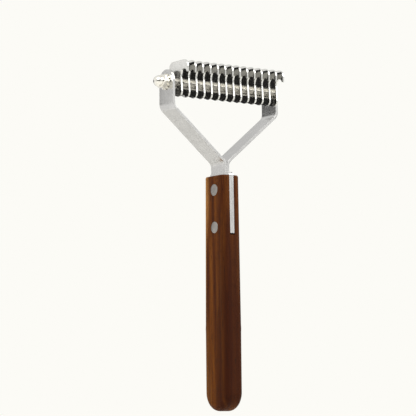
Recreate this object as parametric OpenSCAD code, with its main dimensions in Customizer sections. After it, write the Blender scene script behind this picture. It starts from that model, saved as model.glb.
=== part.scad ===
// Deshedding tool: a row of hooked steel blades on one axle, held in a two-arm
// steel fork whose tangs are riveted into a slotted hardwood handle.
// Origin: the butt end of the handle, on the handle's axis. +Z runs up the handle to
// the head, +X along the axle towards its slotted head, and the blades' beaks point to -Y.

/* [Handle] */
// Height of the handle from the butt to the slotted end
handle_len = 129.2; // [105:0.1:160]
// Thickness of the handle across its flat sides (X)
handle_t = 12.4; // [10.5:0.1:15]
// Depth of the handle at its slotted end (Y)
handle_top_depth = 18.2; // [17.6:0.1:19.5]
// Depth of the handle over its lower half (Y)
handle_grip_depth = 20.6; // [19.6:0.1:24]
// Height at which the grip reaches its full depth
grip_z = 45; // [25:1:70]
// Radius of the handle's long edges
edge_r = 3.5; // [2.5:0.1:4.5]
// Height of the eased rim round the slotted end
rim = 1.2; // [0.4:0.1:2]
// Depth of the saw slot below the slotted end
slot_depth = 33; // [26:0.1:40]
// Gap between the tangs and the floor of the slot
slot_gap = 0.8; // [0.4:0.1:2]
// How far the tang edges sit inside the wood
tang_inset = 0.2; // [0.05:0.05:0.6]

/* [Rivets] */
// Diameter of the rivet heads
rivet_head_d = 6.4; // [5:0.1:8]
// Thickness of the rivet heads
rivet_head_t = 1.2; // [0.8:0.1:1.6]
// Outside diameter of the rivet sleeves
rivet_d = 4; // [3:0.1:4.6]
// Diameter of the pins inside the sleeves
rivet_pin_d = 2.4; // [1.6:0.1:2.6]
// Distance of the upper rivet below the slotted end
upper_rivet_drop = 8; // [6:0.1:12]
// Distance of the lower rivet above the foot of the tangs
lower_rivet_rise = 3.5; // [3:0.1:8]
// How far the rivets sit ahead of the handle's middle plane
rivet_forward = 1; // [0:0.1:2]

/* [Fork] */
// Thickness of the steel strip
strip_t = 1.5; // [1:0.1:2]
// Width of the steel strip (Y)
strip_w = 13; // [11:0.1:15]
// How far the head sits behind the handle's middle plane
head_back = 1.5; // [0:0.1:1.6]
// Height of the neck bend, where the arms part, above the wood
neck_rise = 7.4; // [6:0.1:12]
// Height of the shoulder bend, where the arms turn upright, above the neck bend
fork_rise = 28.7; // [24:0.1:36]
// Inside radius of the four bends
bend_r = 4; // [2:0.1:6]
// Height of the axle above the shoulder bend
axle_rise = 13.8; // [13:0.1:18]
// Height of the arm tips above the axle
arm_tip = 6.9; // [6.6:0.1:8]
// Height of the tang shoulders above the wood
tang_shoulder = 1.8; // [0.5:0.1:2.2]
// Depth of the stop bar behind the blades (Y)
bar_t = 1.5; // [1:0.1:2.5]
// Height of the stop bar (Z)
bar_h = 4; // [3:0.1:8]
// Height of the stop bar's top above the axle
bar_rise = 2; // [0:0.1:3]

/* [Blades] */
// Number of blades
blade_count = 14; // [6:1:16]
// Thickness of a blade
blade_t = 1; // [0.6:0.1:1.4]
// Length of a spacer between two blades
spacer_len = 4; // [2.5:0.1:5]
// Length of the spacer between the left arm and the first blade
end_spacer_len = 2.7; // [1:0.1:5]
// Outside diameter of the spacers
spacer_d = 5.6; // [5.2:0.1:6]
// Reach of the beaks ahead of the axle
beak_reach = 14.8; // [14:0.1:17]
// Height of the blades' tops above the axle
blade_top = 11.3; // [10.9:0.1:12]
// Reach of the blades' bellies ahead of the axle
belly_reach = 8.9; // [8.5:0.1:9.4]
// Depth of the blades' bellies below the axle
belly_drop = 8.5; // [7.8:0.1:9.5]
// Radius of the gullet under the beak
gullet_r = 3; // [2.6:0.1:3.2]
// Distance from the front of the beak back to the middle of the gullet
gullet_back = 3.8; // [3.6:0.1:4.2]
// Distance from the axle to the blades' straight backs
back_reach = 3.6; // [3.2:0.1:4]

/* [Axle] */
// Diameter of the axle
axle_d = 4; // [3:0.1:4.8]
// Radial clearance of everything that runs on the axle
run_gap = 0.05; // [0.02:0.01:0.1]
// Diameter of the axle's slotted head
head_d = 7.8; // [7:0.1:9]
// Thickness of the axle's slotted head
head_t = 1.6; // [1.2:0.1:2.5]
// Width of the screwdriver slot in the axle's head
head_slot_w = 1.2; // [0.8:0.1:1.6]
// Outside diameter of the washer
washer_d = 9; // [7.6:0.1:10]
// Thickness of the washer
washer_t = 0.8; // [0.5:0.1:1.2]
// Number of teeth round the washer
washer_teeth = 12; // [8:1:16]
// Depth of the gaps between the washer's teeth
tooth_h = 0.9; // [0.5:0.1:1]
// Width of the gaps between the washer's teeth
tooth_gap = 0.9; // [0.4:0.1:1.2]
// Width of the dome nut across its flats
nut_af = 7; // [6.5:0.1:8]
// Height of the dome nut's hexagon
nut_hex_h = 3.2; // [2.5:0.1:4]
// Height of the whole dome nut
nut_h = 6.9; // [6:0.1:8]
// Diameter of the dome
dome_d = 6.2; // [5.4:0.1:6.6]
// Length of thread inside the dome nut
thread_len = 5; // [4:0.1:5.2]

/* [Hidden] */
$fn = 64;
eps = 0.01;
touch = 0.02;                                  // gap between faces that lie against each other
neck_z = handle_len + neck_rise;
shoulder_z = neck_z + fork_rise;
axle_z = shoulder_z + axle_rise;
stack_w = blade_count * blade_t + (blade_count - 1) * spacer_len + end_spacer_len;
arm_x = stack_w / 2 + strip_t / 2;             // middle of an upright arm
left_x = -stack_w / 2;                         // left end of the blade stack
blade_pitch = blade_t + spacer_len;
bend_c = bend_r + strip_t / 2;                 // bend radius at the strip's middle
slant = atan2(arm_x - strip_t / 2, shoulder_z - neck_z);  // slope of the arms from upright
bend_len = bend_c * tan(slant / 2);            // tangent length of a bend
tip_r = strip_w / 2;                           // round tips of the arms
slot_floor = handle_len - slot_depth;
tang_z = slot_floor + slot_gap;
slot_w = 2 * strip_t;
rivet_z = [handle_len - upper_rivet_drop, tang_z + lower_rivet_rise];
axle_bore = axle_d + 2 * run_gap;
axle_end_x = -(stack_w / 2 + strip_t + washer_t + thread_len);
nut_corner_d = nut_af / cos(30);
nut_chamfer = 0.45;                            // corners taken off the hexagon
nut_bore_spare = 0.3;                          // bore beyond the axle's end
nose_r = 4.25;                                 // front of the beak
belly_r = 3;                                   // lower front of a blade
crown_r = 2.75;                                // upper back of a blade
crown_drop = 0.25;                             // crown's top below the nose's top
gullet_rise = gullet_r + 0.2;                  // middle of the gullet above the axle
tip_rise = 1;                                  // tip of the beak above the gullet's middle
tip_back = 0.2;                                // tip of the beak behind its front
belly_flat = 1.3;                              // straight foot behind the belly's round
heel_rise = 3.2;                               // foot of the straight back above the belly
back_h = 7.2;                                  // height of the straight back

function two_digits(i) = str(i < 10 ? "0" : "", i);
function blade_name(i) = str("blade_", two_digits(i));
function spacer_name(i) = str("spacer_", two_digits(i));
// Left face of blade i, counted from 1
function blade_x(i) = left_x + end_spacer_len + (i - 1) * blade_pitch;
// Points of an arc about c, from angle a0 to a1
function arc(c, r, a0, a1, n = 10) =
    [for (k = [0:n]) c + r * [cos(a0 + (a1 - a0) * k / n), sin(a0 + (a1 - a0) * k / n)]];
// Half depth of the handle at height z, between the grip and the slotted end
function half_depth(z) =
    (handle_grip_depth + (handle_top_depth - handle_grip_depth)
     * (z - grip_z) / (handle_len - rim - grip_z)) / 2;

// Upright slab of the handle's section with round edges
module handle_slab(z, depth, width, h) {
    translate([0, 0, z]) linear_extrude(h)
        for (x = [-1, 1], y = [-1, 1])
            translate([x * (width / 2 - edge_r), y * (depth / 2 - edge_r)])
                circle(r = edge_r, $fn = 32);
}

// Round-edged disc that closes the handle's butt
module butt_disc() {
    r = handle_grip_depth / 2;
    translate([0, 0, r]) rotate([0, 90, 0])
        rotate_extrude($fn = 32)
            for (x = [-1, 1]) translate([r - edge_r, x * (handle_t / 2 - edge_r)])
                intersection() {
                    circle(r = edge_r, $fn = 32);
                    translate([-edge_r, -edge_r]) square(2 * edge_r);
                }
}

// Bar along X, centred on a rivet
module rivet_bar(z, d, x0, x1) {
    translate([x0, -rivet_forward, z]) rotate([0, 90, 0]) cylinder(d = d, h = x1 - x0);
}

// Bar along X, centred on the axle
module axle_bar(d, x0, x1) {
    translate([x0, head_back, axle_z]) rotate([0, 90, 0]) cylinder(d = d, h = x1 - x0);
}

module handle() {
    half_t = handle_t / 2;
    color("#4f2c1c") difference() {
        hull() {
            butt_disc();
            handle_slab(grip_z, handle_grip_depth, handle_t, 1);
            handle_slab(handle_len - rim - 1, handle_top_depth, handle_t, 1);
            handle_slab(handle_len - 0.1, handle_top_depth - rim, handle_t - rim, 0.1);
        }
        translate([-slot_w / 2 - touch, -handle_grip_depth, slot_floor])
            cube([slot_w + 2 * touch, 2 * handle_grip_depth, slot_depth + 1]);
        for (z = rivet_z) {
            rivet_bar(z, rivet_d + 2 * touch, -half_t - 1, half_t + 1);
            rivet_bar(z, rivet_head_d + 2 * touch, -half_t - 1, -half_t + rivet_head_t + touch);
            rivet_bar(z, rivet_head_d + 2 * touch, half_t - rivet_head_t - touch, half_t + 1);
        }
    }
}

// Side outline of the right arm in X and Z: tang, neck bend, slope, shoulder bend, upright
module arm_path() {
    neck = [strip_t / 2 + bend_c, neck_z - bend_len];
    shoulder = [arm_x - bend_c, shoulder_z + bend_len];
    top_z = axle_z + arm_tip;
    outer_r = bend_r + strip_t;
    polygon(concat(
        [[touch / 2, tang_z]],
        arc(neck, outer_r - touch / 2, 180, 180 - slant),
        arc(shoulder, bend_r, -slant, 0),
        [[arm_x - strip_t / 2, top_z], [arm_x + strip_t / 2, top_z]],
        arc(shoulder, outer_r, 0, -slant),
        arc(neck, bend_r, 180 - slant, 180),
        [[strip_t, tang_z]]));
}

// Front-to-back outline of an arm in Y and Z: strip with a round tip, and the deeper tang
module arm_width() {
    tip_z = axle_z + arm_tip - tip_r;
    ledge_z = handle_len + tang_shoulder;
    top_y = half_depth(handle_len) - tang_inset;
    foot_y = half_depth(tang_z) - tang_inset;
    translate([head_back, tip_z]) circle(r = tip_r);
    translate([head_back - strip_w / 2, handle_len]) square([strip_w, tip_z - handle_len]);
    polygon(concat(
        [[-foot_y, tang_z], [foot_y, tang_z]],
        arc([top_y - tang_shoulder, ledge_z - tang_shoulder], tang_shoulder, 0, 90),
        arc([tang_shoulder - top_y, ledge_z - tang_shoulder], tang_shoulder, 90, 180)));
}

module arm(side) {
    mirror([side < 0 ? 1 : 0, 0, 0]) difference() {
        intersection() {
            translate([0, handle_grip_depth, 0]) rotate([90, 0, 0])
                linear_extrude(2 * handle_grip_depth) arm_path();
            rotate([90, 0, 90]) linear_extrude(arm_x + strip_t) arm_width();
        }
        axle_bar(axle_bore, arm_x - strip_t, arm_x + strip_t);
        for (z = rivet_z) rivet_bar(z, rivet_d + 2 * touch, -1, slot_w);
    }
}

module left_arm() {
    color("#c3c4c4") arm(-1);
}

module right_arm() {
    color("#c3c4c4") arm(1);
}

// Flat bar welded between the arms, behind the blades' straight backs
module stop_bar() {
    color("#b4b6b8")
        translate([left_x, head_back + back_reach + touch, axle_z + bar_rise - bar_h])
            cube([stack_w, bar_t, bar_h]);
}

// Tubular rivet half with a flat head on the left side of the handle
module rivet_sleeve(z) {
    half_t = handle_t / 2;
    color("#8f8f90") difference() {
        union() {
            rivet_bar(z, rivet_head_d, -half_t, -half_t + rivet_head_t);
            rivet_bar(z, rivet_d, -half_t + eps, half_t - rivet_head_t - touch);
        }
        rivet_bar(z, rivet_pin_d + 2 * touch, -half_t + rivet_head_t, half_t);
    }
}

// Solid rivet half with a flat head on the right side of the handle
module rivet_pin(z) {
    half_t = handle_t / 2;
    color("#8f8f90") union() {
        rivet_bar(z, rivet_head_d, half_t - rivet_head_t, half_t);
        rivet_bar(z, rivet_pin_d, -half_t + rivet_head_t + touch, half_t - eps);
    }
}

module upper_rivet_sleeve() { rivet_sleeve(rivet_z[0]); }
module upper_rivet_pin() { rivet_pin(rivet_z[0]); }
module lower_rivet_sleeve() { rivet_sleeve(rivet_z[1]); }
module lower_rivet_pin() { rivet_pin(rivet_z[1]); }

// Long screw: slotted head outside the right arm, threaded end in the dome nut
module axle_bolt() {
    x_face = stack_w / 2 + strip_t + touch;
    color("#c9cacb") difference() {
        union() {
            axle_bar(axle_d, axle_end_x, x_face + eps);
            axle_bar(head_d, x_face, x_face + head_t);
        }
        translate([x_face + head_t / 2, head_back - head_d, axle_z - head_slot_w / 2])
            cube([head_t, 2 * head_d, head_slot_w]);
    }
}

// Lock washer with teeth round its rim
module nut_washer() {
    x_face = -(stack_w / 2 + strip_t + touch);
    color("#d0d1d2") difference() {
        axle_bar(washer_d, x_face - washer_t + touch, x_face);
        axle_bar(axle_bore + 0.1, x_face - washer_t - 1, x_face + 1);
        for (i = [1:washer_teeth])
            translate([x_face - washer_t - 1, head_back, axle_z])
                rotate([360 * (i - 0.5) / washer_teeth, 0, 0])
                    translate([0, washer_d / 2 - tooth_h, -tooth_gap / 2])
                        cube([washer_t + 2, washer_d, tooth_gap]);
    }
}

// Hexagon nut closed by a dome, with a blind bore for the axle's end
module dome_nut() {
    x_face = -(stack_w / 2 + strip_t + washer_t + touch);
    dome_r = dome_d / 2;
    color("#dcdddd") difference() {
        union() {
            intersection() {
                translate([x_face, head_back, axle_z]) rotate([0, -90, 0]) rotate([0, 0, 30])
                    cylinder(d = nut_corner_d, h = nut_hex_h, $fn = 6);
                translate([x_face, head_back, axle_z]) rotate([0, -90, 0])
                    cylinder(r1 = nut_corner_d / 2 + nut_hex_h - nut_chamfer,
                             r2 = nut_corner_d / 2 - nut_chamfer, h = nut_hex_h);
            }
            translate([x_face - nut_hex_h + eps, head_back, axle_z]) rotate([0, -90, 0])
                cylinder(r = dome_r, h = nut_h - nut_hex_h - dome_r + eps);
            translate([x_face - nut_h + dome_r, head_back, axle_z]) sphere(r = dome_r);
        }
        axle_bar(axle_bore, x_face - thread_len - nut_bore_spare, x_face + 1);
    }
}

// Side outline of a blade: first axis ahead of the axle, second axis above it
module blade_outline() {
    gullet = [beak_reach - gullet_back, gullet_rise];
    heel_z = heel_rise - belly_drop;
    difference() {
        polygon(concat(
            arc([0, blade_top - crown_drop - crown_r], crown_r, 180, 90),
            arc([beak_reach - nose_r, blade_top - nose_r], nose_r, 90, 0, 14),
            [[beak_reach - tip_back, gullet_rise + tip_rise], gullet - [gullet_r, 0]],
            arc([belly_reach - belly_r, belly_r - belly_drop], belly_r, 0, -90, 12),
            [[belly_reach - belly_r - belly_flat, -belly_drop],
             [-back_reach, heel_z], [-back_reach, heel_z + back_h]]));
        translate(gullet) circle(r = gullet_r);
        circle(d = axle_bore);
    }
}

module blade(i) {
    color("#b9babb")
        translate([blade_x(i) + touch / 2, head_back, axle_z])
            rotate([90, 0, -90]) mirror([0, 0, 1]) linear_extrude(blade_t - touch) blade_outline();
}

// Tube on the axle; the first one lies between the left arm and blade 1
module spacer(i) {
    x1 = blade_x(i) - touch / 2;
    len = i == 1 ? end_spacer_len : spacer_len;
    color("#c6c7c8") difference() {
        axle_bar(spacer_d, x1 - len + touch, x1);
        axle_bar(axle_bore, x1 - len - 1, x1 + 1);
    }
}

handle();
left_arm();
right_arm();
stop_bar();
upper_rivet_sleeve();
upper_rivet_pin();
lower_rivet_sleeve();
lower_rivet_pin();
axle_bolt();
nut_washer();
dome_nut();
for (i = [1:blade_count])
    blade(i);
for (i = [1:blade_count])
    spacer(i);
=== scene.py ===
"""Looks of the deshedding tool: hooked steel blades on an axle, held by a bent steel fork
that is riveted into a slotted walnut handle. Every piece is built round its CAD node."""
import math
from contextlib import contextmanager

import bmesh
import bpy
from mathutils import Matrix, Vector


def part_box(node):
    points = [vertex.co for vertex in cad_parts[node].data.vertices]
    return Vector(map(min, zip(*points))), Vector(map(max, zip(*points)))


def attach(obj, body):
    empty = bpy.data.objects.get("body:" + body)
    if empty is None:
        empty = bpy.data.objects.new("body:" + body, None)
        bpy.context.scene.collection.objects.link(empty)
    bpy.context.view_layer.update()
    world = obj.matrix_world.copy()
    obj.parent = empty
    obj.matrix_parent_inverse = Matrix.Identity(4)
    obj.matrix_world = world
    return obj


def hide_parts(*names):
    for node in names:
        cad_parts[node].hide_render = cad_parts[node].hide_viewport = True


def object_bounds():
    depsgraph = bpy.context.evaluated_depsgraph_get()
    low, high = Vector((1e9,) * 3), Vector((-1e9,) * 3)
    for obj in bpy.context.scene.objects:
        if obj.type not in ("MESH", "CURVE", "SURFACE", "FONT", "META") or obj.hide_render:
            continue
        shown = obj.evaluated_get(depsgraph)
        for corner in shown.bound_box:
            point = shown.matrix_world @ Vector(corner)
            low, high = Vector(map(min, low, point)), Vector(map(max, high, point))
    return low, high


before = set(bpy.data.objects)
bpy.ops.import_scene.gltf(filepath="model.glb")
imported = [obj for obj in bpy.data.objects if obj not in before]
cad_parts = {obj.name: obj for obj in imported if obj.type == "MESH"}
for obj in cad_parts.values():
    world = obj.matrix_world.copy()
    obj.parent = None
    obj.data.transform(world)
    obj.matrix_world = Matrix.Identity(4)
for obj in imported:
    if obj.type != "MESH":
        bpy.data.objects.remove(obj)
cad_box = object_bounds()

mm = 0.001
hair = 0.05 * mm                     # closer than this counts as touching

# ---- sizes that the node boxes don't give ----
grip_z = 45 * mm                     # the handle has its full depth below this height
handle_top_depth = 18.2 * mm         # depth of the handle at its slotted end
handle_edge_r = 3.5 * mm             # radius of the handle's long edges
handle_rim_r = 0.9 * mm              # radius round the slotted end
slot_edge_r = 0.22 * mm              # eased edges of the saw slot and the rivet seats
rivet_head_r = 3.2 * mm
rivet_head_t = 1.2 * mm
rivet_r = 2.0 * mm
rivet_pin_r = 1.2 * mm
strip_t = 1.5 * mm
strip_w = 13 * mm
bend_r = 4 * mm                      # inside radius of the fork's bends
neck_rise = 7.4 * mm                 # neck bend above the wood
fork_rise = 28.7 * mm                # shoulder bend above the neck bend
tang_shoulder = 1.8 * mm             # tang shoulders above the wood
tang_inset = 0.2 * mm                # tang edges inside the wood
axle_r = 2.0 * mm
axle_bore_r = 2.05 * mm
nose_r = 4.25 * mm                   # front of a blade's beak
belly_r = 3.0 * mm                   # lower front of a blade
crown_r = 2.75 * mm                  # upper back of a blade
gullet_r = 3.0 * mm                  # gullet under the beak
belly_reach = 8.9 * mm               # belly ahead of the axle
gullet_back = 3.8 * mm               # gullet's middle behind the beak's front
gullet_rise = 3.2 * mm               # gullet's middle above the axle
thread_pitch = 0.7 * mm
touch = 0.02 * mm                    # gap between faces that bear on each other
slot_gap = 0.8 * mm                  # slot floor below the strips' feet
nearly_all = 0.998                   # share of a half width that a full round takes

axle_low, axle_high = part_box("axle_bolt")
axle_y = (axle_low.y + axle_high.y) / 2
axle_z = (axle_low.z + axle_high.z) / 2
wood_low, wood_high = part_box("handle")


# ---- modelling helpers ----
def deselect():
    for thing in bpy.context.selected_objects:
        thing.select_set(False)


def take(piece):
    """Makes the piece the one that operators act on."""
    deselect()
    piece.select_set(True)
    bpy.context.view_layer.objects.active = piece


def settle(piece):
    """Puts the piece's place, turn and scale into its mesh."""
    take(piece)
    bpy.ops.object.transform_apply(location=True, rotation=True, scale=True)


def block(name, low, high):
    """Cube primitive between two corners."""
    deselect()
    low, high = Vector(low), Vector(high)
    bpy.ops.mesh.primitive_cube_add(size=1, location=(low + high) / 2)
    piece = bpy.context.object
    piece.name = name
    piece.scale = high - low
    settle(piece)
    return piece


def rod(name, x0, x1, radius, y=axle_y, z=axle_z, sides=64):
    """Cylinder primitive along X."""
    deselect()
    bpy.ops.mesh.primitive_cylinder_add(
        vertices=sides, radius=radius, depth=x1 - x0,
        location=((x0 + x1) / 2, y, z), rotation=(0, math.pi / 2, 0))
    piece = bpy.context.object
    piece.name = name
    settle(piece)
    return piece


@contextmanager
def shaping(piece):
    """Edit mode on one piece."""
    take(piece)
    bpy.ops.object.mode_set(mode="EDIT")
    bpy.ops.mesh.select_all(action="SELECT")
    yield
    bpy.ops.object.mode_set(mode="OBJECT")


def pick(kind, wanted):
    """Selects the vertices, edges or faces of the piece in edit mode that are wanted."""
    bpy.ops.mesh.select_mode(type=kind)
    bpy.ops.mesh.select_all(action="DESELECT")
    work = bmesh.from_edit_mesh(bpy.context.object.data)
    parts = {"VERT": work.verts, "EDGE": work.edges, "FACE": work.faces}[kind]
    for part in parts:
        if wanted(part):
            part.select_set(True)
    work.select_flush_mode()
    bmesh.update_edit_mesh(bpy.context.object.data)


def along_x(edge):
    """Whether an edge runs along X."""
    step = edge.verts[1].co - edge.verts[0].co
    return abs(step.x) > 0.9 * step.length


def middle(part):
    """Middle of an edge or a face."""
    return sum((v.co for v in part.verts), Vector()) / len(part.verts)


def cut_plane(point, normal):
    """Cuts new edges round the piece in edit mode."""
    bpy.ops.mesh.select_all(action="SELECT")
    bpy.ops.mesh.bisect(plane_co=point, plane_no=normal)


def slice_off(point, normal):
    """Cuts away what lies on the normal's side of a plane, and closes the cut."""
    bpy.ops.mesh.select_all(action="SELECT")
    bpy.ops.mesh.bisect(plane_co=point, plane_no=Vector(normal).normalized(),
                        clear_outer=True, use_fill=True)


def combine(piece, tool, operation="DIFFERENCE"):
    """Boolean of the piece with a tool shape, which is used up."""
    step = piece.modifiers.new("combine", "BOOLEAN")
    step.object = tool
    step.operation = operation
    step.solver = "EXACT"
    take(piece)
    bpy.ops.object.modifier_apply(modifier=step.name)
    bpy.data.objects.remove(tool, do_unlink=True)


def ease(piece, radius, segments=3, sharper_than=40):
    """Rounds the piece's sharp edges."""
    step = piece.modifiers.new("ease", "BEVEL")
    step.width = radius
    step.segments = segments
    step.limit_method = "ANGLE"
    step.angle_limit = math.radians(sharper_than)
    take(piece)
    bpy.ops.object.modifier_apply(modifier=step.name)


def smooth(piece, angle=32):
    """Smooth shading that keeps flats flat and creases crisp."""
    take(piece)
    bpy.ops.object.shade_smooth_by_angle(angle=math.radians(angle))
    step = piece.modifiers.new("even", "WEIGHTED_NORMAL")
    step.keep_sharp = True
    bpy.ops.object.modifier_apply(modifier=step.name)


def face_out(piece):
    """Joins the piece's doubled corners and turns its faces outward."""
    with shaping(piece):
        bpy.ops.mesh.remove_doubles(threshold=hair / 50)
        bpy.ops.mesh.select_all(action="SELECT")
        bpy.ops.mesh.normals_make_consistent(inside=False)


def copy_along_x(piece, name, shift):
    """Copy with its own mesh, moved along X."""
    twin = piece.copy()
    twin.data = piece.data.copy()
    twin.name = name
    bpy.context.collection.objects.link(twin)
    twin.data.transform(Matrix.Translation((shift, 0, 0)))
    return twin


def fit(piece, body, material, *nodes):
    """Gives a finished piece its finish and its body, and hides the CAD node that it stands for.
    """
    piece.data.materials.clear()
    piece.data.materials.append(material)
    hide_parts(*nodes)
    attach(piece, body)


# ---- material helpers ----
def linear(code):
    """sRGB hex to the linear colour that shaders use."""
    values = [int(code[i:i + 2], 16) / 255 for i in (1, 3, 5)]
    return [v / 12.92 if v <= 0.04045 else ((v + 0.055) / 1.055) ** 2.4 for v in values] + [1.0]


def add(tree, kind, inputs=(), **settings):
    """Adds one node: settings are its properties, inputs are values or links by socket."""
    made = tree.nodes.new(kind)
    for name, value in settings.items():
        setattr(made, name, value)
    for socket, value in dict(inputs).items():
        if isinstance(value, bpy.types.NodeSocket):
            tree.links.new(value, made.inputs[socket])
        else:
            made.inputs[socket].default_value = value
    return made


def new_material(name):
    """New material with its node tree, its shader and its object coordinates."""
    material = bpy.data.materials.new(name)
    material.use_nodes = True
    tree = material.node_tree
    shader = tree.nodes["Principled BSDF"]
    place = add(tree, "ShaderNodeTexCoord").outputs["Object"]
    return material, tree, shader, place


def stretched(tree, place, x, y, z):
    """Coordinates for a pattern whose features measure x, y and z metres."""
    node = add(tree, "ShaderNodeMapping", {"Vector": place, "Scale": (1 / x, 1 / y, 1 / z)})
    return node.outputs["Vector"]


def noise(tree, where, detail=3.0, roughness=0.5, distortion=0.0):
    """Noise from 0 to 1, one feature to each unit of the coordinates."""
    settings = {"Vector": where, "Scale": 1.0, "Detail": detail,
                "Roughness": roughness, "Distortion": distortion}
    return add(tree, "ShaderNodeTexNoise", settings).outputs["Fac"]


def ramp(tree, value, *stops):
    """Colour ramp from (position, colour) stops."""
    node = add(tree, "ShaderNodeValToRGB", {"Fac": value})
    marks = node.color_ramp.elements
    while len(marks) < len(stops):
        marks.new(1.0)
    for mark, (position, colour) in zip(marks, stops):
        mark.position = position
        mark.color = colour
    return node.outputs["Color"]


def spread(tree, value, low, high, to_low, to_high):
    """Maps low..high of a value to to_low..to_high."""
    settings = {"Value": value, "From Min": low, "From Max": high,
                "To Min": to_low, "To Max": to_high}
    return add(tree, "ShaderNodeMapRange", settings).outputs["Result"]


def blend_colours(tree, share, first, second):
    """First colour to second as the share goes from 0 to 1."""
    node = add(tree, "ShaderNodeMix", {0: share, 6: first, 7: second},
               data_type="RGBA", blend_type="MIX")
    return node.outputs[2]


def raise_surface(tree, height, distance, strength, under=None):
    """Small relief: distance is its depth in metres, under is a relief to lay it on."""
    inputs = {"Height": height, "Distance": distance, "Strength": strength}
    if under is not None:
        inputs["Normal"] = under
    return add(tree, "ShaderNodeBump", inputs).outputs["Normal"]


# ---- materials ----
def oiled_walnut():
    """Black walnut, sawn along the grain, sanded and oiled: brown with darker growth bands
    and fine dark pores that run up the handle, and a soft oil sheen."""
    material, tree, shader, place = new_material("oiled walnut")
    warp = noise(tree, stretched(tree, place, 9 * mm, 9 * mm, 70 * mm), detail=2.0)
    bands_at = stretched(tree, place, 3.2 * mm, 4.5 * mm, 140 * mm)
    shifted = add(tree, "ShaderNodeVectorMath", {0: bands_at, 1: warp}, operation="ADD")
    bands = noise(tree, shifted.outputs["Vector"], detail=4.0, roughness=0.55, distortion=0.6)
    heartwood = ramp(tree, bands,
                     (0.28, linear("#2E1104")), (0.42, linear("#4A2309")),
                     (0.56, linear("#62350E")), (0.74, linear("#7E4C15")))
    streaks = noise(tree, stretched(tree, place, 0.75 * mm, 0.75 * mm, 45 * mm), detail=3.0)
    streaked = blend_colours(tree, spread(tree, streaks, 0.35, 0.7, 0.0, 0.42),
                             heartwood, linear("#341C12"))
    # Real pores are about 0.15 mm across: they are drawn twice as wide, so that they show.
    pores = noise(tree, stretched(tree, place, 0.3 * mm, 0.3 * mm, 5 * mm), detail=1.0)
    pore_share = spread(tree, pores, 0.60, 0.70, 0.0, 0.75)
    # Painted highlight: the back edge is painted lighter in the upper half, where the light from
    # behind on the left catches it. Painted shade: the front is painted darker, most of all low
    # down.
    axes = add(tree, "ShaderNodeSeparateXYZ", {"Vector": place}).outputs
    wander = spread(tree, warp, 0.3, 0.7, -2.5 * mm, 2.5 * mm)
    across = add(tree, "ShaderNodeMath", {0: axes["Y"], 1: wander}, operation="ADD").outputs[0]
    painted_highlight_share = add(tree, "ShaderNodeMath", {0: spread(tree, across, 3.5 * mm, 8 * mm, 0.0, 1.0),
                                       1: spread(tree, axes["Z"], 50 * mm, 95 * mm, 0.15, 0.9)},
              operation="MULTIPLY").outputs[0]
    with_painted_highlight = blend_colours(tree, painted_highlight_share, streaked, linear("#B27E46"))
    # Painted shade: darker towards the front, and more so lower down.
    painted_front_shade = add(tree, "ShaderNodeMath", {0: spread(tree, across, -9 * mm, 0.0, 0.84, 0.0),
                                         1: spread(tree, axes["Z"], 60 * mm, 115 * mm, 1.0, 0.55)},
                operation="MULTIPLY").outputs[0]
    with_painted_shade = blend_colours(tree, painted_front_shade, with_painted_highlight, linear("#2C0F04"))
    coloured = blend_colours(tree, pore_share, with_painted_shade, linear("#22110A"))
    tree.links.new(coloured, shader.inputs["Base Color"])
    tree.links.new(spread(tree, bands, 0.3, 0.7, 0.56, 0.46), shader.inputs["Roughness"])
    grain = raise_surface(tree, streaks, 0.04 * mm, 0.5)
    pitted = raise_surface(tree, spread(tree, pores, 0.60, 0.70, 1.0, 0.0), 0.05 * mm, 0.5, grain)
    tree.links.new(pitted, shader.inputs["Normal"])
    shader.inputs["IOR"].default_value = 1.47
    shader.inputs["Specular IOR Level"].default_value = 0.06
    return material


def worked_steel(name, colour, shade, roughness, scratch, depth, wear=0.06):
    """Steel with fine tool marks: scratch gives a mark's size along X, Y and Z."""
    material, tree, shader, place = new_material(name)
    marks = noise(tree, stretched(tree, place, *scratch), detail=4.0, roughness=0.6)
    clouds = noise(tree, stretched(tree, place, 6 * mm, 6 * mm, 6 * mm), detail=2.0)
    tone = blend_colours(tree, spread(tree, clouds, 0.35, 0.65, 0.0, 1.0),
                         linear(colour), linear(shade))
    tree.links.new(tone, shader.inputs["Base Color"])
    rough = spread(tree, marks, 0.3, 0.7, roughness - wear, roughness + wear)
    tree.links.new(rough, shader.inputs["Roughness"])
    tree.links.new(raise_surface(tree, marks, depth, 0.4), shader.inputs["Normal"])
    shader.inputs["Metallic"].default_value = 1.0
    return material


def polished_strip():
    """Stainless steel strip, belt-polished along its length: even pale grey with faint
    lines up the arms."""
    return worked_steel("belt-polished stainless strip", "#C8C7C5", "#C2C1BF", 0.24,
                        (0.4 * mm, 0.25 * mm, 9 * mm), 0.006 * mm)


def ground_edge():
    """Edges and outer faces of the blades, ground and polished bright, with fine marks
    across the edge."""
    return worked_steel("ground stainless blade edge", "#D9D8D4", "#CFCEC9", 0.2,
                        (2 * mm, 0.5 * mm, 0.5 * mm), 0.004 * mm)


def mirror_face_painted_shade():
    """Faces of the blades, mirror-rolled sheet that is slightly clouded by tumbling: they
    reflect the spacers and each other. Their tone is a little darker than the ground
    edges', as painted shade for the gaps between the plates."""
    return worked_steel("mirror-rolled stainless sheet in painted shade", "#CFCECA", "#C5C4C0", 0.08,
                        (1.2 * mm, 1.2 * mm, 1.2 * mm), 0.002 * mm, wear=0.03)


def turned_tube():
    """Drawn stainless tube, parted off on a lathe: rings run round it."""
    return worked_steel("turned stainless tube", "#E6E3DF", "#DCD9D5", 0.14,
                        (0.22 * mm, 3 * mm, 3 * mm), 0.008 * mm)


def faced_rivet():
    """Steel rivet head, ground flush with the wood: duller grey, marked across."""
    return worked_steel("ground steel rivet", "#A09C97", "#8A8681", 0.34,
                        (3 * mm, 0.2 * mm, 2.5 * mm), 0.015 * mm)


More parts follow.
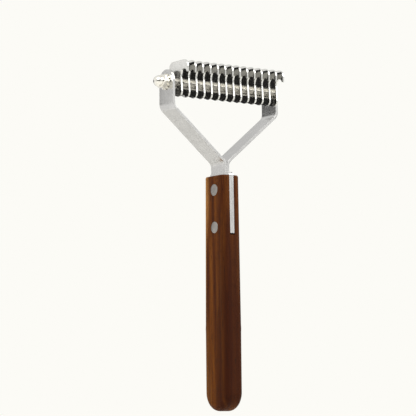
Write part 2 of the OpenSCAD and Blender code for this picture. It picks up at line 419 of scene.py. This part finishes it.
def bright_screw():
    """Bright-drawn stainless screw: smooth, with faint rings from rolling."""
    return worked_steel("bright-drawn stainless screw", "#CFCECA", "#C6C5C1", 0.18,
                        (0.3 * mm, 4 * mm, 4 * mm), 0.004 * mm)


def nickel_plate():
    """Nickel-plated steel, barrel-polished: almost a mirror, with a warm white tint."""
    return worked_steel("barrel-polished nickel plate", "#E9E6DD", "#DEDBD2", 0.1,
                        (1.5 * mm, 1.5 * mm, 1.5 * mm), 0.004 * mm, wear=0.03)


# ---- pieces ----
def make_handle(material):
    """Slab with a round butt, a tapered upper half, rounded long edges, slot and rivet seats."""
    piece = block("walnut_handle", wood_low, wood_high)
    top = wood_high.z
    half_t = wood_high.x
    half_d = wood_high.y
    with shaping(piece):
        cut_plane((0, 0, grip_z), (0, 0, 1))
        pick("VERT", lambda v: v.co.z > top - hair)
        bpy.ops.transform.resize(value=(1, handle_top_depth / (2 * half_d), 1),
                                 center_override=(0, 0, top))
        pick("EDGE", lambda e: along_x(e) and middle(e).z < hair)
        bpy.ops.mesh.bevel(offset=half_d * nearly_all, segments=20, affect="EDGES")
        pick("EDGE", lambda e: not along_x(e) and abs(middle(e).x) > half_t - hair
             and middle(e).z < top - hair)
        bpy.ops.mesh.bevel(offset=handle_edge_r, segments=8, affect="EDGES")
        pick("FACE", lambda f: f.normal.z > 0.9 and middle(f).z > top - hair)
        bpy.ops.mesh.region_to_loop()
        bpy.ops.mesh.bevel(offset=handle_rim_r, segments=4, affect="EDGES")
        bpy.ops.mesh.select_all(action="SELECT")
        bpy.ops.mesh.remove_doubles(threshold=hair)
    slot_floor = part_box("left_arm")[0].z - slot_gap
    half_slot = strip_t + touch
    seat_gap = 0.1 * mm
    combine(piece, block("saw", (-half_slot, -half_d * 2, slot_floor),
                         (half_slot, half_d * 2, top * 2)))
    for node in ("upper_rivet_sleeve", "lower_rivet_sleeve"):
        low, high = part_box(node)
        y, z = (low.y + high.y) / 2, (low.z + high.z) / 2
        combine(piece, rod("drill", -half_t * 2, half_t * 2, rivet_r + touch, y, z, 48))
        for side in (-1, 1):
            ends = sorted((side * (half_t - rivet_head_t - touch), side * half_t * 2))
            combine(piece, rod("seat", *ends, rivet_head_r + seat_gap, y, z))
    ease(piece, slot_edge_r, 2, 50)
    smooth(piece)
    fit(piece, "tool", material, "handle")


def make_arm(node, side, material):
    """One strip: tang in the slot, neck bend, slope, shoulder bend and an upright round tip."""
    low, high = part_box(node)
    arm_x = max(abs(low.x), abs(high.x)) - strip_t / 2
    neck_z = wood_high.z + neck_rise
    shoulder_z = neck_z + fork_rise
    slant = math.atan2(arm_x - strip_t / 2, fork_rise)
    bend_c = bend_r + strip_t / 2
    bend_len = bend_c * math.tan(slant / 2)
    ledge_z = wood_high.z + tang_shoulder
    front = axle_y - strip_w / 2
    back = axle_y + strip_w / 2
    deselect()
    bpy.ops.mesh.primitive_plane_add(size=1, location=(side * strip_t / 2, axle_y, low.z))
    piece = bpy.context.object
    piece.name = "steel_" + node
    piece.scale = (strip_t, strip_w, 1)
    settle(piece)

    def draw(x, z):
        bpy.ops.mesh.extrude_region_move(TRANSFORM_OT_translate={"value": (x, 0, z)})

    def bend(x, z, angle):
        bpy.ops.mesh.spin(steps=12, angle=-angle, center=(x, axle_y, z), axis=(0, 1, 0))

    slope = math.hypot(arm_x - strip_t / 2, fork_rise) - 2 * bend_len
    with shaping(piece):
        draw(0, ledge_z - low.z)
        draw(0, neck_z - bend_len - ledge_z)
        bend(side * (strip_t / 2 + bend_c), neck_z - bend_len, side * slant)
        draw(side * slope * math.sin(slant), slope * math.cos(slant))
        bend(side * (arm_x - bend_c), shoulder_z + bend_len, -side * slant)
        draw(0, high.z - shoulder_z - bend_len)
        bpy.ops.mesh.select_all(action="SELECT")
        bpy.ops.mesh.remove_doubles(threshold=hair / 50)
        bpy.ops.mesh.normals_make_consistent(inside=False)
        for way, edge in ((-1, front), (1, back)):
            top_y = way * (handle_depth(wood_high.z) - tang_inset)
            foot_y = way * (handle_depth(low.z) - tang_inset)
            pick("FACE", lambda f: f.normal.y * way > 0.9 and middle(f).z < ledge_z)
            bpy.ops.mesh.extrude_region_move(
                TRANSFORM_OT_translate={"value": (0, top_y - edge, 0)})
            pick("VERT", lambda v: v.co.y * way > abs(top_y) - hair and v.co.z < low.z + hair)
            bpy.ops.transform.translate(value=(0, foot_y - top_y, 0))
            pick("EDGE", lambda e: along_x(e) and abs(middle(e).y - top_y) < hair
                 and abs(middle(e).z - ledge_z) < hair)
            reach = min(tang_shoulder, abs(top_y - edge) * 0.95)
            bpy.ops.mesh.bevel(offset=reach, segments=6, affect="EDGES")
        pick("EDGE", lambda e: along_x(e) and middle(e).z > high.z - hair)
        bpy.ops.mesh.bevel(offset=strip_w / 2 * nearly_all, segments=20, affect="EDGES")
        bpy.ops.mesh.select_all(action="SELECT")
        bpy.ops.mesh.remove_doubles(threshold=hair / 50)
    ends = sorted((side * (arm_x - strip_t), side * (arm_x + strip_t)))
    combine(piece, rod("drill", *ends, axle_bore_r))
    for rivet in ("upper_rivet_sleeve", "lower_rivet_sleeve"):
        rivet_low, rivet_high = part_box(rivet)
        centre = (rivet_low + rivet_high) / 2
        combine(piece, rod("drill", -strip_t * 2, strip_t * 2, rivet_r + touch,
                           centre.y, centre.z, 48))
    ease(piece, 0.2 * mm, 3, 40)
    smooth(piece)
    fit(piece, "tool", material, node)


def handle_depth(z):
    """Half depth of the handle between the grip and the slotted end."""
    share = (z - grip_z) / (wood_high.z - grip_z)
    return wood_high.y + share * (handle_top_depth / 2 - wood_high.y)


def paint(piece, material, wanted):
    """Gives the wanted faces of a piece a second finish."""
    piece.data.materials.append(material)
    for face in piece.data.polygons:
        if wanted(face):
            face.material_index = len(piece.data.materials) - 1


def make_blades(edge_steel, face_steel):
    """One blade plate with beak, gullet and belly, copied along the axle."""
    names = sorted(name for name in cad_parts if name.startswith("blade_"))
    low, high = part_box(names[0])
    beak_y = low.y
    belly_y = axle_y - belly_reach
    throat_z = axle_z + gullet_rise
    throat_back = 0.9 * mm
    tip_back, tip_rise = 0.2 * mm, 1.0 * mm
    heel_y = axle_y - 4.6 * mm           # where the belly's slope meets the bottom
    back_top_z = axle_z + 1.9 * mm       # the back leans in above this
    piece = block("hooked_" + names[0], (low.x, belly_y, low.z), high)
    with shaping(piece):
        cut_plane((0, 0, throat_z), (0, 0, 1))
        pick("FACE", lambda f: f.normal.y < -0.9 and middle(f).z > throat_z)
        bpy.ops.mesh.extrude_region_move(
            TRANSFORM_OT_translate={"value": (0, beak_y - belly_y, 0)})
        pick("VERT", lambda v: abs(v.co.z - throat_z) < hair and abs(v.co.y - belly_y) < hair)
        bpy.ops.transform.translate(value=(0, throat_back, 0))
        pick("VERT", lambda v: abs(v.co.z - throat_z) < hair and v.co.y < beak_y + hair)
        bpy.ops.transform.translate(value=(0, tip_back, tip_rise))
        slice_off((0, heel_y, low.z), (0, 3.2, -8.2))
        slice_off((0, high.y, back_top_z), (0, 6.4, 0.85))
        pick("EDGE", lambda e: along_x(e) and middle(e).z > high.z - hair
             and middle(e).y < beak_y + hair)
        bpy.ops.mesh.bevel(offset=nose_r, segments=16, affect="EDGES")
        pick("EDGE", lambda e: along_x(e) and middle(e).z < low.z + hair
             and middle(e).y < belly_y + hair)
        bpy.ops.mesh.bevel(offset=belly_r * 0.98, segments=12, affect="EDGES")
        pick("EDGE", lambda e: along_x(e) and middle(e).z > high.z - hair
             and middle(e).y > axle_y)
        bpy.ops.mesh.bevel(offset=crown_r, segments=10, affect="EDGES")
    wide = 5 * mm
    combine(piece, rod("gullet", low.x - wide, high.x + wide, gullet_r,
                       beak_y + gullet_back, axle_z + gullet_rise, 72))
    combine(piece, rod("bore", low.x - wide, high.x + wide, axle_bore_r))
    ease(piece, 0.24 * mm, 3, 40)
    smooth(piece)
    plates = [piece] + [copy_along_x(piece, "hooked_" + name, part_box(name)[0].x - low.x)
                        for name in names[1:]]
    for name, plate in zip(names, plates):
        fit(plate, "tool", edge_steel, name)
        # Only the two outer faces of the row are polished: the inner ones can't be reached. The
        # inner faces get the mirror sheet, a little darker, as painted shade in the gaps between
        # the plates.
        left_in_gap_shade, right_in_gap_shade = name != names[0], name != names[-1]
        paint(plate, face_steel, lambda f: (f.normal.x < -0.95 and left_in_gap_shade)
              or (f.normal.x > 0.95 and right_in_gap_shade))


def make_spacers(material):
    """Tubes between the blades, with eased ends."""
    for name in sorted(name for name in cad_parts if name.startswith("spacer_")):
        low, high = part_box(name)
        piece = rod("tube_" + name, low.x, high.x, (high.z - low.z) / 2)
        combine(piece, rod("bore", low.x - mm, high.x + mm, axle_bore_r))
        ease(piece, 0.2 * mm, 3, 50)
        smooth(piece)
        fit(piece, "tool", material, name)


def make_stop_bar(material):
    """Flat bar with eased edges and a rippled weld bead down each end."""
    low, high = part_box("stop_bar")
    piece = block("welded_stop_bar", low, high)
    ease(piece, 0.3 * mm, 3)
    beads = []
    bead_r = 0.9 * mm
    bead_h = high.z - low.z
    ripples = 10
    for x in (low.x, high.x):
        deselect()
        bpy.ops.mesh.primitive_cylinder_add(
            vertices=24, radius=bead_r, depth=bead_h,
            location=(x, high.y, (low.z + high.z) / 2))
        bead = bpy.context.object
        settle(bead)
        with shaping(bead):
            for i in range(1, ripples):
                cut_plane((0, 0, low.z + bead_h * i / ripples), (0, 0, 1))
            for i in range(0, ripples + 1, 2):
                ring_z = low.z + bead_h * i / ripples
                pick("VERT", lambda v: abs(v.co.z - ring_z) < hair)
                bpy.ops.transform.resize(value=(0.8, 0.8, 1), center_override=(x, high.y, ring_z))
            slice_off((x, 0, 0), (math.copysign(1, x), 0, 0))
        beads.append(bead)
    for bead in beads:
        combine(piece, bead, "UNION")
    smooth(piece)
    fit(piece, "tool", material, "stop_bar")


def make_axle(material):
    """Long screw: slotted head on the right, plain shank, rolled thread on the left end."""
    head_t = 1.6 * mm
    head_x = axle_high.x - head_t
    thread_l = 8 * mm
    core_r = axle_r - 0.4 * mm
    half_slot = 0.6 * mm
    slot_reach = 50 * mm
    piece = rod("slotted_axle", head_x, axle_high.x, axle_high.z - axle_z)
    with shaping(piece):
        pick("FACE", lambda f: f.normal.x > 0.9)
        bpy.ops.mesh.inset(thickness=0.9 * mm, depth=0)
    ease(piece, 0.45 * mm, 5, 60)
    combine(piece, block("screwdriver", (head_x + head_t / 2, -slot_reach, axle_z - half_slot),
                         (axle_high.x + mm, slot_reach, axle_z + half_slot)))
    shank_x = axle_low.x + thread_l
    combine(piece, rod("shank", shank_x, head_x + head_t / 4, axle_r), "UNION")
    combine(piece, rod("core", axle_low.x, shank_x + mm, core_r), "UNION")
    combine(piece, make_thread(axle_low.x, shank_x, core_r), "UNION")
    ease(piece, 0.12 * mm, 2, 60)
    smooth(piece)
    fit(piece, "tool", material, "axle_bolt")


def make_thread(x0, x1, core_r):
    """Ridge that winds round the core from x0 to x1."""
    ridge_r = axle_r - touch
    root = core_r - 0.1 * mm
    deselect()
    bpy.ops.mesh.primitive_circle_add(vertices=3, radius=0.3 * mm, fill_type="NGON")
    ridge = bpy.context.object
    corners = ((x0, root), (x0 + thread_pitch * 0.8, root), (x0 + thread_pitch * 0.4, ridge_r))
    for vertex, (x, r) in zip(ridge.data.vertices, corners):
        vertex.co = (x, 0, r)
    turns = int((x1 - x0) / thread_pitch) - 1
    step = ridge.modifiers.new("wind", "SCREW")
    step.axis = "X"
    step.screw_offset = thread_pitch
    step.iterations = turns
    step.steps = 40
    step.render_steps = 40
    step.use_normal_calculate = True
    take(ridge)
    bpy.ops.object.modifier_apply(modifier=step.name)
    ridge.data.transform(Matrix.Translation((0, axle_y, axle_z)))
    with shaping(ridge):
        bpy.ops.mesh.remove_doubles(threshold=hair / 50)
        bpy.ops.mesh.select_mode(type="EDGE")
        bpy.ops.mesh.select_all(action="DESELECT")
        bpy.ops.mesh.select_non_manifold()
        bpy.ops.mesh.edge_face_add()
    face_out(ridge)
    return ridge


def make_washer(material):
    """Lock washer: a ring whose rim is cut into teeth."""
    low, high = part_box("nut_washer")
    outer_r = (high.y - low.y) / 2
    piece = rod("toothed_washer", low.x, high.x, outer_r, sides=96)
    combine(piece, rod("bore", low.x - mm, high.x + mm, axle_r + 0.1 * mm))
    teeth = 12
    tooth_h = 0.9 * mm
    tooth_gap = 0.9 * mm
    for i in range(teeth):
        gap = block("gap", (low.x - mm, outer_r - tooth_h, -tooth_gap / 2),
                    (high.x + mm, outer_r * 2, tooth_gap / 2))
        turn = Matrix.Rotation(math.tau * (i + 0.5) / teeth, 4, "X")
        gap.data.transform(Matrix.Translation((0, axle_y, axle_z)) @ turn)
        combine(piece, gap)
    ease(piece, 0.12 * mm, 2)
    smooth(piece)
    fit(piece, "washer", material, "nut_washer")


def make_nut(material):
    """Hexagon with chamfered corners, a short neck and a dome, over a blind bore."""
    low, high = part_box("dome_nut")
    hex_h = 3.2 * mm
    corner_r = (high.z - low.z) / 2 / math.cos(math.pi / 6)
    dome_r = 3.1 * mm
    bore_depth = 5.3 * mm
    piece = rod("domed_nut", high.x - hex_h, high.x, corner_r, sides=6)
    chamfer = 0.45 * mm
    deselect()
    bpy.ops.mesh.primitive_cone_add(
        vertices=96, radius1=corner_r - chamfer, radius2=corner_r - chamfer + hex_h, depth=hex_h,
        location=(high.x - hex_h / 2, axle_y, axle_z), rotation=(0, math.pi / 2, 0))
    cone = bpy.context.object
    settle(cone)
    combine(piece, cone, "INTERSECT")
    dome_x = low.x + dome_r
    dome = rod("dome", dome_x, high.x - hex_h / 2, dome_r)
    rings = 12
    with shaping(dome):
        pick("FACE", lambda f: f.normal.x < -0.9)
        for i in range(1, rings + 1):
            a0, a1 = (math.pi / 2 * (i - j) / rings for j in (1, 0))
            shrink = max(math.cos(a1), 0.01) / math.cos(a0)
            bpy.ops.mesh.extrude_region_move(TRANSFORM_OT_translate={
                "value": (dome_r * (math.sin(a0) - math.sin(a1)), 0, 0)})
            bpy.ops.transform.resize(value=(1, shrink, shrink),
                                     center_override=(0, axle_y, axle_z))
    combine(piece, dome, "UNION")
    combine(piece, rod("bore", high.x - bore_depth, high.x + mm, axle_bore_r))
    ease(piece, 0.15 * mm, 3, 28)
    smooth(piece)
    fit(piece, "nut", material, "dome_nut")


def make_rivet(node, side, material):
    """Rivet half: a flat head eased at its rim, slightly crowned, on its shank."""
    low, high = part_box(node)
    centre = (low + high) / 2
    face_x = low.x if side < 0 else high.x
    inner_x = face_x - side * rivet_head_t
    head = rod(node + "_head", *sorted((face_x, inner_x)), rivet_head_r, centre.y, centre.z)
    with shaping(head):
        for thickness, depth in ((0.35, 0.07), (0.9, 0.05), (1.0, 0.02)):
            pick("FACE", lambda f: f.normal.x * side > 0.999 and len(f.verts) > 8)
            bpy.ops.mesh.inset(thickness=thickness * mm, depth=depth * mm)
    radius = rivet_r if side < 0 else rivet_pin_r
    far_x = high.x if side < 0 else low.x
    shank = rod("shank", *sorted((inner_x + side * mm / 2, far_x)), radius, centre.y, centre.z, 48)
    combine(head, shank, "UNION")
    if side < 0:
        combine(head, rod("bore", inner_x, far_x + mm, rivet_pin_r + touch,
                          centre.y, centre.z, 48))
    ease(head, 0.15 * mm, 3, 50)
    smooth(head)
    fit(head, "tool", material, node)


# ---- studio ----
def make_camera():
    """Long lens, left of the front and a little below the head."""
    below_axle, aside = 67.24 * mm, 6.93 * mm
    azimuth, elevation, roll = (math.radians(a) for a in (-35.463, -6.217, -0.569))
    distance = 1092.5 * mm
    back = Vector((math.sin(azimuth) * math.cos(elevation),
                   -math.cos(azimuth) * math.cos(elevation), math.sin(elevation)))
    right = Vector((math.cos(azimuth), math.sin(azimuth), 0))
    up = back.cross(right)
    aim = Vector((0, axle_y, axle_z - below_axle)) - right * aside
    tilted_right = right * math.cos(roll) + up * math.sin(roll)
    tilted_up = up * math.cos(roll) - right * math.sin(roll)
    lens = bpy.data.cameras.new("long lens")
    lens.lens = 171.0
    lens.sensor_width = 36.0
    lens.clip_end = 20.0
    camera = bpy.data.objects.new("camera", lens)
    bpy.context.collection.objects.link(camera)
    turn = Matrix((tilted_right, tilted_up, back)).transposed().to_4x4()
    camera.matrix_world = Matrix.Translation(aim + back * distance) @ turn
    bpy.context.scene.camera = camera


def towards(tree, way, aim, start, full):
    """0 to 1 as a direction nears the aim: start and full are cosines from it."""
    near = add(tree, "ShaderNodeVectorMath", {0: way, 1: aim}, operation="DOT_PRODUCT")
    return spread(tree, near.outputs["Value"], start, full, 0.0, 1.0)


def dim_towards(tree, way, level, aim, start, full, left, within=1.0):
    """Scales the level down to the share left, near a direction and where within is 1."""
    near = add(tree, "ShaderNodeMath", {0: towards(tree, way, aim, start, full), 1: within},
               operation="MULTIPLY").outputs[0]
    share = spread(tree, near, 0.0, 1.0, 1.0, left)
    return add(tree, "ShaderNodeMath", {0: level, 1: share}, operation="MULTIPLY").outputs[0]


def lit_towards(tree, way, level, aim, start, full, extra):
    """Adds a soft panel of light to the level, near a direction."""
    panel = spread(tree, towards(tree, way, aim, start, full), 0.0, 1.0, 0.0, extra)
    return add(tree, "ShaderNodeMath", {0: level, 1: panel}, operation="ADD").outputs[0]


def make_studio():
    """White surround with dim and bright parts, a pale floor just below the butt, glowing
    cards behind the tool and one weak light behind it on the right."""
    scene = bpy.context.scene
    scene.view_settings.view_transform = "Standard"
    world = bpy.data.worlds.new("studio")
    world.use_nodes = True
    scene.world = world
    tree = world.node_tree
    tree.nodes.clear()
    way = add(tree, "ShaderNodeTexCoord").outputs["Generated"]
    axes = add(tree, "ShaderNodeSeparateXYZ", {"Vector": way}).outputs
    # Brighter overhead, dim behind the tool and where the viewer stands, with three soft
    # panels in front and above that light the front edges, the spacers and the nut.
    level = spread(tree, axes["Z"], 0.0, 0.5, 0.7, 0.95)
    band = spread(tree, axes["Z"], 0.46, 0.55, 1.0, 0.0)
    level = dim_towards(tree, way, level, (0.0, 1.0, 0.0), 0.6, 0.78, 0.04, band)
    level = dim_towards(tree, way, level, (-0.58, -0.81, -0.1), 0.7, 0.95, 0.1)
    level = lit_towards(tree, way, level, (0.58, -0.8, 0.12), 0.93, 0.98, 0.12)
    level = lit_towards(tree, way, level, (0.52, -0.62, 0.59), 0.93, 0.97, 5.0)
    level = lit_towards(tree, way, level, (-0.48, -0.42, 0.77), 0.85, 0.93, 3.2)
    surround = add(tree, "ShaderNodeBackground", {"Color": linear("#FFFFFE"), "Strength": level})
    backdrop = add(tree, "ShaderNodeBackground", {"Color": linear("#FCFBF6"), "Strength": 1.0})
    seen = add(tree, "ShaderNodeLightPath").outputs["Is Camera Ray"]
    mixed = add(tree, "ShaderNodeMixShader", {0: seen, 1: surround.outputs[0],
                                              2: backdrop.outputs[0]})
    add(tree, "ShaderNodeOutputWorld", {"Surface": mixed.outputs[0]})

    deselect()
    bpy.ops.mesh.primitive_plane_add(size=4, location=(0, 0, cad_box[0][2] - 10 * mm))
    floor = bpy.context.object
    floor.name = "floor"
    with shaping(floor):
        bpy.ops.mesh.subdivide(number_cuts=8)
    paper, tree, shader, place = new_material("matt paper floor")
    fibres = noise(tree, stretched(tree, place, 3 * mm, 3 * mm, 3 * mm), detail=4.0)
    tree.links.new(blend_colours(tree, fibres, linear("#DDDCD9"), linear("#D5D4D0")),
                   shader.inputs["Base Color"])
    shader.inputs["Roughness"].default_value = 0.9
    floor.data.materials.append(paper)

    # White cards stand behind the tool on the left, for the left arm to reflect. Their
    # stepped edge hides them from the gaps between the blades, which stay dark. The dim card
    # is for the right arm.
    cloth = diffuser_cloth("glowing diffuser cloth", 1.08)
    stand_card("low_card", cloth, -0.35, -0.06, 0.06, 0.165)
    stand_card("middle_card", cloth, -0.35, -0.098, 0.165, 0.205)
    stand_card("high_card", cloth, -0.35, -0.04, 0.206, 0.33)
    stand_card("grey_card", diffuser_cloth("dim diffuser cloth", 0.75), -0.056, -0.02, 0.14, 0.181)
    add_light("rim", (0.8, 0.3, 0.4), (0, 0, 0.1), (0.4, 0.4), 0.4)


def diffuser_cloth(name, glow):
    """Woven diffuser lit from behind: an even glow with a faint weave."""
    material, tree, shader, place = new_material(name)
    weave = noise(tree, stretched(tree, place, 2 * mm, 2 * mm, 2 * mm), detail=2.0)
    tree.links.new(blend_colours(tree, weave, linear("#FFFFFF"), linear("#FBFAF8")),
                   shader.inputs["Emission Color"])
    shader.inputs["Emission Strength"].default_value = glow
    shader.inputs["Base Color"].default_value = linear("#0C0C0C")
    shader.inputs["Roughness"].default_value = 0.9
    return material


def stand_card(name, cloth, left, right, low, high):
    """Glowing card behind the tool, which shows in the steel and isn't seen by the camera."""
    card_y = 0.1
    card = block(name, (left, card_y, low), (right, card_y + 1 * mm, high))
    card.data.materials.append(cloth)
    card.visible_camera = False


def add_light(name, place, target, size, watts):
    """Soft rectangular light that the camera doesn't see."""
    lamp = bpy.data.lights.new(name, "AREA")
    lamp.shape = "RECTANGLE"
    lamp.size, lamp.size_y = size
    lamp.energy = watts
    light = bpy.data.objects.new(name, lamp)
    light.visible_camera = False
    bpy.context.collection.objects.link(light)
    aim = Vector(target) - Vector(place)
    light.matrix_world = (Matrix.Translation(place)
                          @ aim.to_track_quat("-Z", "Y").to_matrix().to_4x4())


make_camera()
make_studio()
make_handle(oiled_walnut())
strip_steel = polished_strip()
make_arm("left_arm", -1, strip_steel)
make_arm("right_arm", 1, strip_steel)
make_stop_bar(strip_steel)
make_blades(ground_edge(), mirror_face_painted_shade())
make_spacers(turned_tube())
make_axle(bright_screw())
plate = nickel_plate()
make_washer(plate)
make_nut(plate)
rivet_steel = faced_rivet()
for place in ("upper", "lower"):
    make_rivet(place + "_rivet_sleeve", -1, rivet_steel)
    make_rivet(place + "_rivet_pin", 1, rivet_steel)
